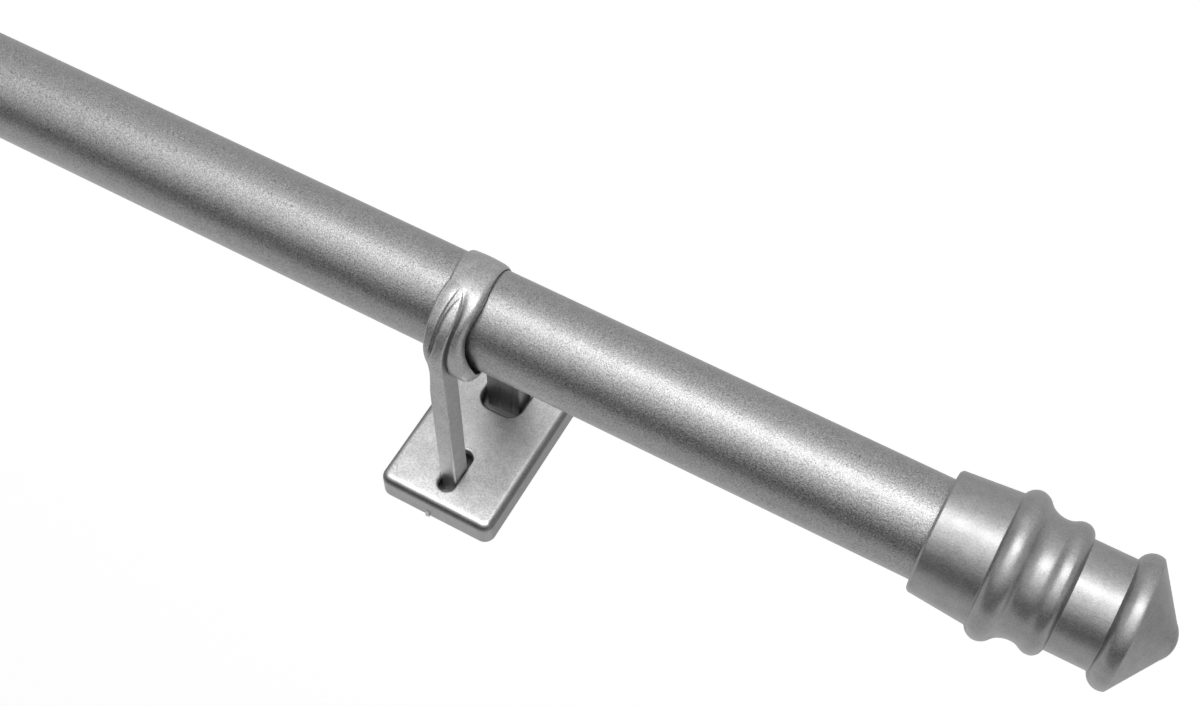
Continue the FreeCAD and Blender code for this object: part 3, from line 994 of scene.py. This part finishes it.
class Cover:
    """The shallow moulded cover with its two slots and the stub of its gate."""

    # Painted shade on the rolled edge and the side, against the edge's tilt in degrees: the paint's share,
    # darkest in a band round the edge.
    EDGE_TONE = ((0.0, 1.0), (12.0, 1.0), (28.0, 0.6), (46.0, 0.36), (72.0, 0.38), (90.0, 0.66))
    # Painted light and shade on the face: the share at its lower end, a painted shadow of the rod, and at its
    # upper end, painted light; and the heights between which it turns.
    FACE_TONE = (0.82, 1.8)
    FACE_FLOW = (-4.0, 8.5)
    FLAT = 0.12

    def __init__(self, side: Side, body: str, sizes: CoverSizes) -> None:
        """Choose the bracket.

        Args:
            side: which bracket.
            body: the body that it rides on.
            sizes: the moulding's sizes.
        """
        self.side = side
        self.body = body
        self.sizes = sizes

    @staticmethod
    def outline(width: float, length: float, corner: float, arc: int = 12, run: int = 24) -> np.ndarray:
        """A round-cornered rectangle about the origin as a closed run of points."""
        corner = max(corner, 0.02)
        turn = np.linspace(0, math.pi / 2, arc)
        across, high = width / 2 - corner, length / 2 - corner
        arcs = []
        for quarter, (x, z) in enumerate(((across, high), (-across, high), (-across, -high), (across, -high))):
            angle = turn + quarter * math.pi / 2
            arcs.append(np.stack([x + corner * np.cos(angle), z + corner * np.sin(angle)], axis=1))
        between = np.linspace(0, 1, run + 1)[1:-1, None]
        points = []
        for bend, following in zip(arcs, arcs[1:] + arcs[:1]):
            points += [bend, bend[-1] + (following[0] - bend[-1]) * between]
        return np.concatenate(points)

    def inset(self, depth: float, **counts: int) -> np.ndarray:
        """The cover's outline drawn in by a depth."""
        s = self.sizes
        return self.outline(s.width - 2 * depth, s.length - 2 * depth, s.corner - depth, **counts)

    def rim(self) -> Shell:
        """The edge all round: crown, rolled edge, side, foot and inside wall."""
        s = self.sizes
        rows = [(s.crown_reach + self.FLAT, -s.height, 0.0)]
        for depth in np.linspace(s.crown_reach, s.top_edge, 8)[:-1]:
            rows.append((depth, s.crown * (1 - depth / s.crown_reach) ** 2 - s.height, 0.0))
        for tilt in np.linspace(0, 90, 19):
            depth = s.top_edge * (1 - math.sin(math.radians(tilt)))
            drop = s.top_edge * (1 - math.cos(math.radians(tilt)))
            drop += s.crown * (1 - depth / s.crown_reach) ** 2
            rows.append((depth, drop - s.height, tilt))
        for deep in np.linspace(rows[-1][1], -s.foot_edge, 6)[1:]:
            rows.append((0.0, deep, 90.0))
        rows += [(s.foot_edge, 0.0, 90.0), (s.wall, 0.0, 90.0), (s.wall, s.wall - s.height, 90.0)]
        points = []
        for depth, deep, _ in rows:
            line = self.inset(depth)
            points.append(np.stack([line[:, 0], np.full(len(line), deep), line[:, 1]], axis=1))
        points = np.array(points)
        # painted shade on the rolled edge and side; the face's painted light and shade fade out over the edge
        tilts = np.array([row[2] for row in rows])[:, None]
        level = 1 - smooth_step(tilts, 0, self.EDGE_TONE[-3][0])
        tone = np.interp(tilts, *np.array(self.EDGE_TONE).T) * self.face_tone(points[..., 2]) ** level
        return Shell(points * MM, tone=tone)

    def face_tone(self, high: np.ndarray) -> np.ndarray:
        """Painted light and shade on the face by height from the cover's middle: the rod's painted shadow
        lower down, painted light higher up.
        """
        shadowed, lit = self.FACE_TONE
        return shadowed + (lit - shadowed) * smooth_step(high, *self.FACE_FLOW)

    def face(self, slot: Slot) -> Shell:
        """One half of the face with its slot: ceiling inside, slot wall, rolled rim and flat face.

        The half ends at the line through the cover's middle. Each column runs out from the slot's
        middle through a point of its outline to where it meets the end of the half.
        """
        s = self.sizes
        middle = np.array([0.0, (slot.low + slot.high) / 2])
        length = slot.high - slot.low
        way = math.copysign(1.0, middle[1])
        ring = self.outline(slot.width, length, slot.corner)
        bearing = np.arctan2(ring[:, 1], ring[:, 0])

        def half_end(depth: float) -> np.ndarray:
            """Where the columns meet the half's end, at a depth from the cover's outline."""
            edge = self.inset(depth, arc=40, run=400)
            edge = edge[edge[:, 1] * way > 0]
            reach = s.width / 2 - depth
            line = np.stack([np.linspace(-reach, reach, 801), np.zeros(801)], axis=1)
            spokes = np.concatenate([edge, line]) - middle
            turn = np.arctan2(spokes[:, 1], spokes[:, 0])
            order = np.argsort(turn)
            far = np.interp(
                bearing, turn[order], np.linalg.norm(spokes, axis=1)[order], period=2 * math.pi
            )
            ends = middle + far[:, None] * np.stack([np.cos(bearing), np.sin(bearing)], axis=1)
            for x in (-reach, reach):
                for z in (0.0, way * (s.length / 2 - depth)):
                    ends[np.argmin(np.hypot(ends[:, 0] - x, ends[:, 1] - z))] = x, z
            return ends

        def grown(growth: float) -> np.ndarray:
            """The slot's outline moved out by a growth."""
            return middle + self.outline(
                slot.width + 2 * growth, length + 2 * growth, slot.corner + growth
            )

        ceiling = s.wall - s.height
        rows = [(half_end(s.wall), ceiling), (grown(0.0), ceiling)]
        for tilt in np.linspace(0, math.pi / 2, 8):
            rows.append(
                (
                    grown(s.slot_rim * (1 - math.cos(tilt))),
                    s.slot_rim * (1 - math.sin(tilt)) - s.height,
                )
            )
        rows.append((grown(s.slot_rim + self.FLAT), -s.height))
        rows.append((half_end(s.crown_reach + self.FLAT), -s.height))
        points = [
            np.stack([line[:, 0], np.full(len(line), deep), line[:, 1]], axis=1) for line, deep in rows
        ]
        points = np.array(points)
        # the face takes the rod's painted shadow and the painted light
        return Shell(points * MM, tone=self.face_tone(points[..., 2]))

    def nub(self) -> Shell:
        """The broken stub of the gate on the cover's upper side."""
        s = self.sizes
        across = np.array([-1.0, 1.0, 0.8, -0.7]) * s.nub_width / 2 + s.nub_station
        high = s.length / 2 + np.array([-s.wall / 2, -s.wall / 2, s.nub_rise, s.nub_rise * 0.8])
        deep = np.array([[0.0], [-s.nub_height]]) * np.ones(4)
        points = np.stack([across * np.ones_like(deep), deep, high * np.ones_like(deep)], axis=-1)
        return Shell(points * MM, cap_first=True, cap_last=True)

    def build(self) -> bpy.types.Object:
        """Make, dress and seat the cover.

        Returns:
            The new object.
        """
        mounts = {mount["name"]: mount for mount in frame["record"]["mounts"]}
        shells = [self.rim(), *(self.face(slot) for slot in self.sizes.slots), self.nub()]
        for shell in shells:
            shell.points += np.array(mounts[f"{self.side.word}_wall"]["pos_m"], dtype=float)
        node = f"{self.side.word}_cover"
        piece = mesh_object(f"{node}_skin", shells)
        dress(piece, COVER_PAINT)
        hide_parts(node)
        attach(piece, self.body)
        return piece


# Studio


@dataclass(frozen=True)
class CameraPose:
    """The photograph's view.

    Args:
        from_ring: camera place measured from the rod's axis in the left bracket, in metres.
        right: the picture's right in the object's frame.
        up: the picture's up.
        focal_px: focal length in pixels of the 1200 pixel wide picture.
    """

    from_ring: tuple = (-0.089944, -0.232265, 0.127012)
    right: tuple = (-0.87458, -0.01031, -0.48477)
    up: tuple = (0.4144, -0.53498, -0.73625)
    focal_px: float = 1802.75
    width_px: float = 1200.0
    sensor_mm: float = 36.0

    def build(self) -> None:
        """Make the camera the scene's own."""
        data = bpy.data.cameras.new("photo_camera")
        data.sensor_width = self.sensor_mm
        data.lens = self.focal_px / self.width_px * self.sensor_mm
        data.clip_start = 0.01
        right = Vector(self.right).normalized()
        up = Vector(self.up)
        up = (up - right * up.dot(right)).normalized()
        back = right.cross(up)
        turn = Matrix((right, up, back)).transposed()
        ring = axis_of("outer_tube")
        ring[0] = 0.0
        camera = bpy.data.objects.new("photo_camera", data)
        camera.matrix_world = Matrix.Translation(Vector(ring) + Vector(self.from_ring)) @ turn.to_4x4()
        bpy.context.scene.collection.objects.link(camera)
        bpy.context.scene.camera = camera


@dataclass(frozen=True)
class SoftBox:
    """One rectangular studio light.

    Args:
        name: its name.
        towards: direction from the rod to the light, in the object's frame.
        distance: how far away it stands, in metres.
        size: width and height in metres.
        power: watts.
    """

    name: str
    towards: tuple
    distance: float
    size: tuple
    power: float

    def build(self) -> None:
        """Hang the light and aim it at the left bracket."""
        data = bpy.data.lights.new(self.name, "AREA")
        data.shape = "RECTANGLE"
        data.size, data.size_y = self.size
        data.energy = self.power
        light = bpy.data.objects.new(self.name, data)
        way = Vector(self.towards).normalized()
        light.location = way * self.distance
        light.rotation_euler = way.to_track_quat("Z", "Y").to_euler()
        bpy.context.scene.collection.objects.link(light)


class Studio:
    """Camera, lights, pale surround and floor."""

    LIGHTS = (
        SoftBox("strip", (-0.12, -1.0, 0.0), 1.2, (1.15, 0.34), 4.9),
        SoftBox("window", (-0.02, -1.0, 0.05), 1.25, (1.6, 1.6), 13.0),
    )
    AMBIENT = 0.4
    DARK_WAY = (0.0, -0.1, 1.0)
    DARK_CORE = 13.0
    DARK_EDGE = 28.0
    DARK_LEVEL = 0.2
    FLOOR_HEIGHT = -0.6
    FLOOR_GLOW = 0.6
    FLOOR_MIRROR_LOSS = 0.35

    @staticmethod
    def seen_directly(tree: bpy.types.NodeTree) -> tuple:
        """Light path values of a shader tree.

        Args:
            tree: the tree of a material or of the world.

        Returns:
            The socket that is 1 for camera, glossy and transmission rays, and the glossy ray socket.
        """
        path = tree.nodes.new("ShaderNodeLightPath")
        total = path.outputs["Is Camera Ray"]
        for ray in ("Is Glossy Ray", "Is Transmission Ray"):
            larger = tree.nodes.new("ShaderNodeMath")
            larger.operation = "MAXIMUM"
            tree.links.new(total, larger.inputs[0])
            tree.links.new(path.outputs[ray], larger.inputs[1])
            total = larger.outputs[0]
        return total, path.outputs["Is Glossy Ray"]

    def world(self) -> None:
        """A surround that is white where it is seen or reflected, with a dim ceiling for reflections."""
        world = bpy.data.worlds.new("surround")
        bpy.context.scene.world = world
        world.use_nodes = True
        tree = world.node_tree
        tree.nodes.clear()
        seen, glossy = self.seen_directly(tree)
        place = tree.nodes.new("ShaderNodeTexCoord")
        flat = tree.nodes.new("ShaderNodeVectorMath")
        flat.operation = "MULTIPLY"
        flat.inputs[1].default_value = (0.0, 1.0, 1.0)
        across = tree.nodes.new("ShaderNodeVectorMath")
        across.operation = "NORMALIZE"
        upward = tree.nodes.new("ShaderNodeVectorMath")
        upward.operation = "DOT_PRODUCT"
        upward.inputs[1].default_value = Vector(self.DARK_WAY).normalized()
        tree.links.new(place.outputs["Generated"], flat.inputs[0])
        tree.links.new(flat.outputs["Vector"], across.inputs[0])
        tree.links.new(across.outputs["Vector"], upward.inputs[0])
        ceiling = tree.nodes.new("ShaderNodeMapRange")
        ceiling.interpolation_type = "SMOOTHSTEP"
        ceiling.inputs["From Min"].default_value = math.cos(math.radians(self.DARK_EDGE))
        ceiling.inputs["From Max"].default_value = math.cos(math.radians(self.DARK_CORE))
        ceiling.inputs["To Max"].default_value = 1.0 - self.DARK_LEVEL
        tree.links.new(upward.outputs["Value"], ceiling.inputs["Value"])
        shade = tree.nodes.new("ShaderNodeMath")
        shade.operation = "MULTIPLY"
        tree.links.new(ceiling.outputs["Result"], shade.inputs[0])
        tree.links.new(glossy, shade.inputs[1])
        level = tree.nodes.new("ShaderNodeMapRange")
        level.inputs["To Min"].default_value = self.AMBIENT
        tree.links.new(seen, level.inputs["Value"])
        strength = tree.nodes.new("ShaderNodeMath")
        strength.operation = "SUBTRACT"
        tree.links.new(level.outputs["Result"], strength.inputs[0])
        tree.links.new(shade.outputs[0], strength.inputs[1])
        light = tree.nodes.new("ShaderNodeBackground")
        light.inputs["Color"].default_value = (1.0, 1.0, 1.0, 1.0)
        tree.links.new(strength.outputs[0], light.inputs["Strength"])
        out = tree.nodes.new("ShaderNodeOutputWorld")
        tree.links.new(light.outputs["Background"], out.inputs["Surface"])

    def floor(self) -> None:
        """A pale floor well below the hung rod, which glows up to white where it is seen or reflected."""
        reach = 4.0
        ends = np.array([-reach, reach])
        x, y = np.meshgrid(ends, ends, indexing="ij")
        points = np.stack([x, y, np.full_like(x, self.FLOOR_HEIGHT)], axis=-1)
        floor = mesh_object("studio_floor", [Shell(points, Wrap.OPEN)])
        material = bpy.data.materials.new("studio_floor")
        material.use_nodes = True
        tree = material.node_tree
        shader = tree.nodes["Principled BSDF"]
        shader.inputs["Base Color"].default_value = (0.9, 0.9, 0.9, 1.0)
        shader.inputs["Roughness"].default_value = 0.9
        shader.inputs["Emission Color"].default_value = (1.0, 1.0, 1.0, 1.0)
        seen, glossy = self.seen_directly(tree)
        lost = tree.nodes.new("ShaderNodeMath")
        lost.operation = "MULTIPLY"
        lost.inputs[1].default_value = self.FLOOR_MIRROR_LOSS
        tree.links.new(glossy, lost.inputs[0])
        glow = tree.nodes.new("ShaderNodeMath")
        glow.operation = "MULTIPLY_ADD"
        glow.inputs[1].default_value = self.FLOOR_GLOW
        tree.links.new(seen, glow.inputs[0])
        dimmed = tree.nodes.new("ShaderNodeMath")
        dimmed.operation = "MULTIPLY"
        dimmed.inputs[1].default_value = -1.0
        tree.links.new(lost.outputs[0], dimmed.inputs[0])
        tree.links.new(dimmed.outputs[0], glow.inputs[2])
        tree.links.new(glow.outputs[0], shader.inputs["Emission Strength"])
        floor.data.materials.append(material)

    def build(self) -> None:
        """Set up the whole studio."""
        CameraPose().build()
        self.world()
        self.floor()
        for light in self.LIGHTS:
            light.build()
        bpy.context.scene.view_settings.view_transform = "Standard"


def dress_frame_nodes() -> None:
    """Give the wall plates that stay as modelled their finish: a zinc grey darkened as painted shade for the
    slot floors.
    """
    for side in Side:
        dress(bpy.data.objects[f"{side.word}_base"], ZINC_PLATE_SLOT_SHADE)


def main() -> None:
    """Build every piece in order."""
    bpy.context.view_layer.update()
    Studio().build()
    Tube("outer_tube", "outer_rod").build()
    Tube("inner_tube", "inner_rod").build()
    finial = FinialSizes()
    Finial(Side.LEFT, "outer_tube", "left_finial_body", finial).build()
    Finial(Side.RIGHT, "inner_tube", "right_finial_body", finial).build()
    yoke = YokeSizes()
    cover = CoverSizes()
    for side in Side:
        Yoke(side, f"{side.word}_bracket", yoke).build()
        Cover(side, f"{side.word}_cover_body", cover).build()
    dress_frame_nodes()


if __name__ == "__main__":
    logging.basicConfig(level=logging.INFO)
    main()
